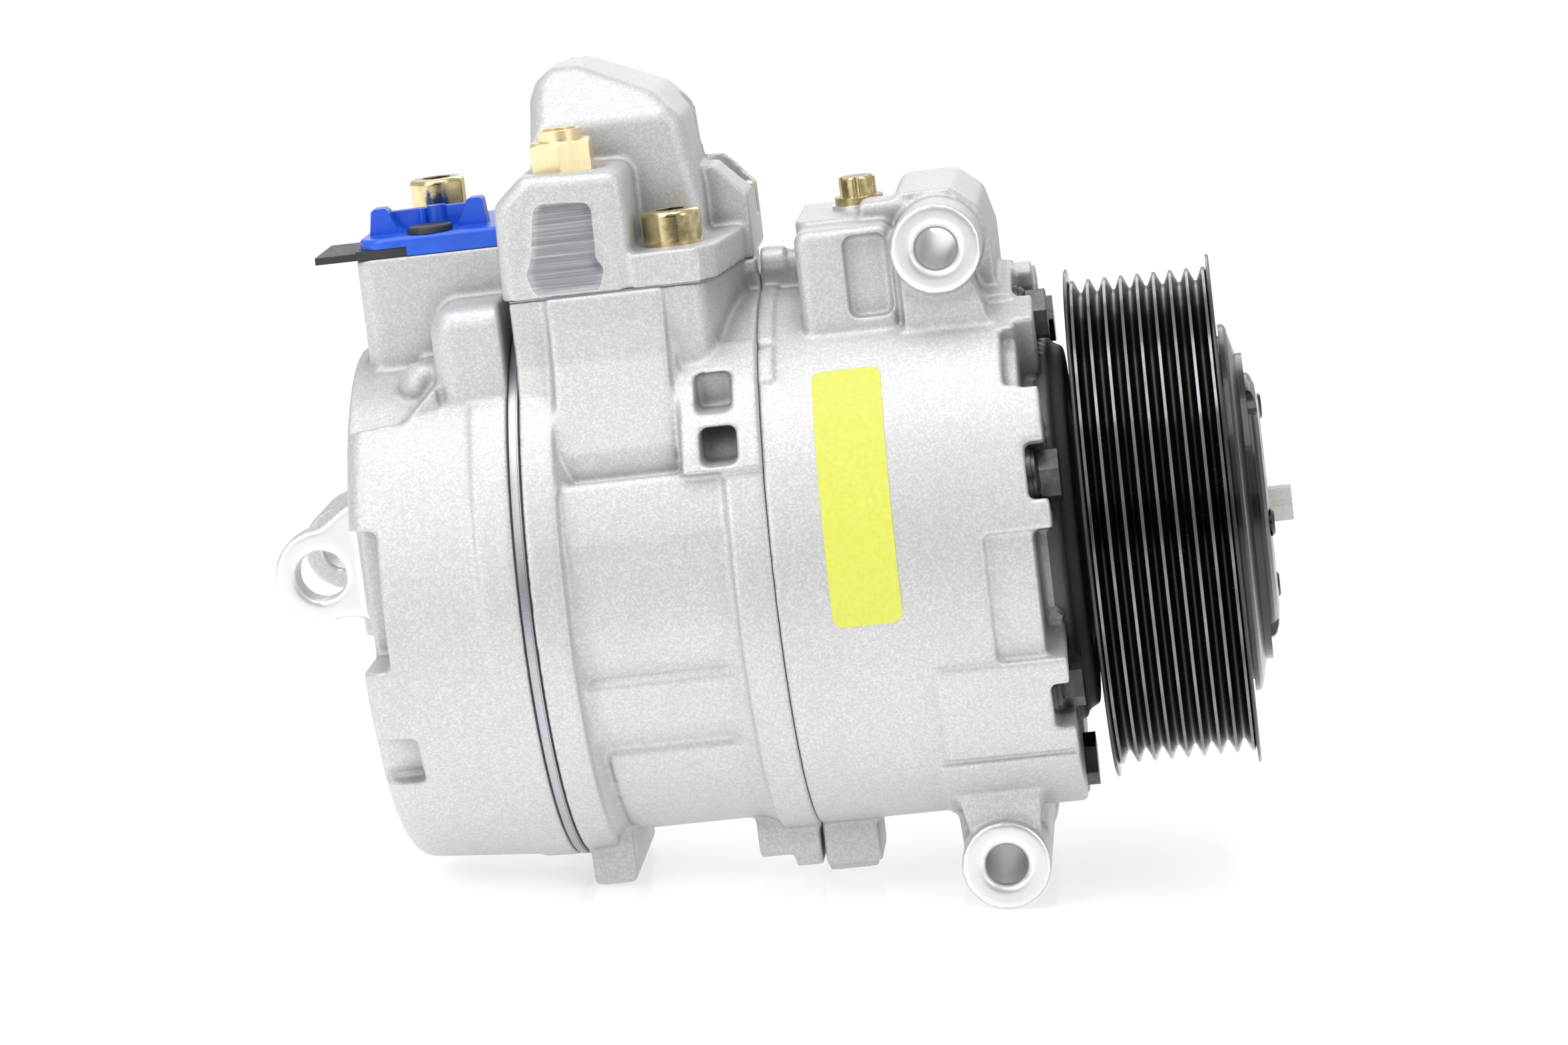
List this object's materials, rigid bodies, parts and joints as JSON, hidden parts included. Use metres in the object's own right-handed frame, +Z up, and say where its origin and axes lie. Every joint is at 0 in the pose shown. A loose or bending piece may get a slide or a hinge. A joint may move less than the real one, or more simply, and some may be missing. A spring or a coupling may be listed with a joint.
{
  "type": "automotive air-conditioning compressor",
  "caption": "Belt-driven swash plate refrigerant compressor in cast aluminium, with a black ribbed pulley, mounting lugs, a manifold cover and a blue port cap.",
  "frame": {"origin": "on the shaft axis, at the middle of the belt track", "axes": "+X along the shaft, out through the pulley; -Y out of the faces of the mounting lugs; +Z up, towards the manifold"},
  "size_m": [0.2174, 0.1206, 0.1876],
  "materials": {
    "cast_aluminium": "shot-blasted casting with machined faces",
    "pulley_black": "gloss black coating",
    "damper_rubber": "bonded rubber",
    "hub_black": "satin black coating",
    "bearing_steel": "ground and hardened",
    "cage_plastic": "glass filled",
    "dark_steel": "dark nickel-grey plating",
    "spring_steel": "drawn wire",
    "plate_steel": "ground strip",
    "piston_aluminium": "turned and coated",
    "gasket_dark": "coated gasket sheet",
    "yellow_zinc": "yellow zinc plating",
    "washer_aluminium": "soft washer",
    "valve_brass": "turned brass",
    "valve_plastic": "moulded",
    "valve_steel": "turned",
    "cap_blue": "moulded blue plastic",
    "strap_dark": "flat dark sheet",
    "label_yellow": "plain film"
  },
  "bodies": {
    "casing": {"front_housing": "cast_aluminium", "cylinder_block": "cast_aluminium", "rear_housing": "cast_aluminium", "manifold_cover": "cast_aluminium", "bearing_inner_ring": "bearing_steel", "front_needle_shell": "bearing_steel", "rear_needle_shell": "bearing_steel", "thrust_race_fixed": "bearing_steel", "shaft_end_washer": "bearing_steel", "shoes": "bearing_steel", "through_bolts": "dark_steel", "bolt_washers": "dark_steel", "nose_circlips": "dark_steel", "relief_spring": "spring_steel", "check_valve_spring": "spring_steel", "manifold_gasket": "plate_steel", "valve_plate": "plate_steel", "suction_reeds": "plate_steel", "discharge_reeds": "plate_steel", "pistons": "piston_aluminium", "rear_gasket": "gasket_dark", "block_gasket": "gasket_dark", "seam_seal": "gasket_dark", "transit_seal": "gasket_dark", "shaft_seal": "gasket_dark", "cover_screws": "yellow_zinc", "transit_screw": "yellow_zinc", "oil_plug": "yellow_zinc", "oil_plug_washer": "washer_aluminium", "relief_body": "valve_brass", "relief_plug": "valve_brass", "check_valve_body": "valve_plastic", "control_valve_connector": "valve_plastic", "control_valve_body": "valve_steel", "transit_cap": "cap_blue", "transit_strap": "strap_dark", "transit_plug": "strap_dark", "label": "label_yellow"},
    "rotor": {"pulley": "pulley_black", "damper_ring": "damper_rubber", "hub_plate": "hub_black", "limiter_plate": "hub_black", "hub_rivets": "dark_steel", "bearing_outer_ring": "bearing_steel", "drive_shaft": "bearing_steel", "lug_plate": "plate_steel", "swash_plate": "plate_steel", "hinge_pin": "bearing_steel", "destroke_spring": "spring_steel", "return_spring": "spring_steel", "shaft_circlip": "dark_steel", "thrust_race_turning": "bearing_steel"},
    "pulley_balls": {"bearing_balls": "bearing_steel", "bearing_cages": "cage_plastic"},
    "front_roller_set": {"front_needles": "bearing_steel"},
    "rear_roller_set": {"rear_needles": "bearing_steel"},
    "thrust_roller_set": {"thrust_rollers": "bearing_steel"},
    "relief_stem": {"relief_poppet": "valve_brass"},
    "check_cup": {"check_valve_piston": "valve_plastic"},
    "control_spool": {"control_valve_spool": "valve_steel"}
  },
  "joints": [
    {"name": "drive_spin", "type": "hinge", "parent": "casing", "child": "rotor", "pos_m": [0, 0, 0], "axis": [1, 0, 0], "continuous": true},
    {"name": "pulley_ball_spin", "type": "hinge", "parent": "casing", "child": "pulley_balls", "pos_m": [0, 0, 0], "axis": [1, 0, 0], "continuous": true},
    {"name": "front_needle_spin", "type": "hinge", "parent": "casing", "child": "front_roller_set", "pos_m": [0, 0, 0], "axis": [1, 0, 0], "continuous": true},
    {"name": "rear_needle_spin", "type": "hinge", "parent": "casing", "child": "rear_roller_set", "pos_m": [0, 0, 0], "axis": [1, 0, 0], "continuous": true},
    {"name": "thrust_roller_spin", "type": "hinge", "parent": "casing", "child": "thrust_roller_set", "pos_m": [0, 0, 0], "axis": [1, 0, 0], "continuous": true},
    {"name": "relief_lift", "type": "slide", "parent": "casing", "child": "relief_stem", "axis": [0, 0, 1], "range_m": [0, 0.0015], "stiffness_N_per_m": 2000, "springref_m": -0.002, "deforming": ["relief_spring"]},
    {"name": "check_lift", "type": "slide", "parent": "casing", "child": "check_cup", "axis": [0, 0, 1], "range_m": [0, 0.0025], "stiffness_N_per_m": 300, "springref_m": -0.003, "deforming": ["check_valve_spring"]},
    {"name": "spool_shift", "type": "slide", "parent": "casing", "child": "control_spool", "axis": [0, 1, 0], "range_m": [-0.0015, 0.002], "stiffness_N_per_m": 600}
  ],
  "couplings": [
    {"joint": "pulley_ball_spin", "follows": "drive_spin", "ratio": 0.5569},
    {"joint": "front_needle_spin", "follows": "drive_spin", "ratio": 0.4221},
    {"joint": "rear_needle_spin", "follows": "drive_spin", "ratio": 0.4221},
    {"joint": "thrust_roller_spin", "follows": "drive_spin", "ratio": 0.5}
  ]
}
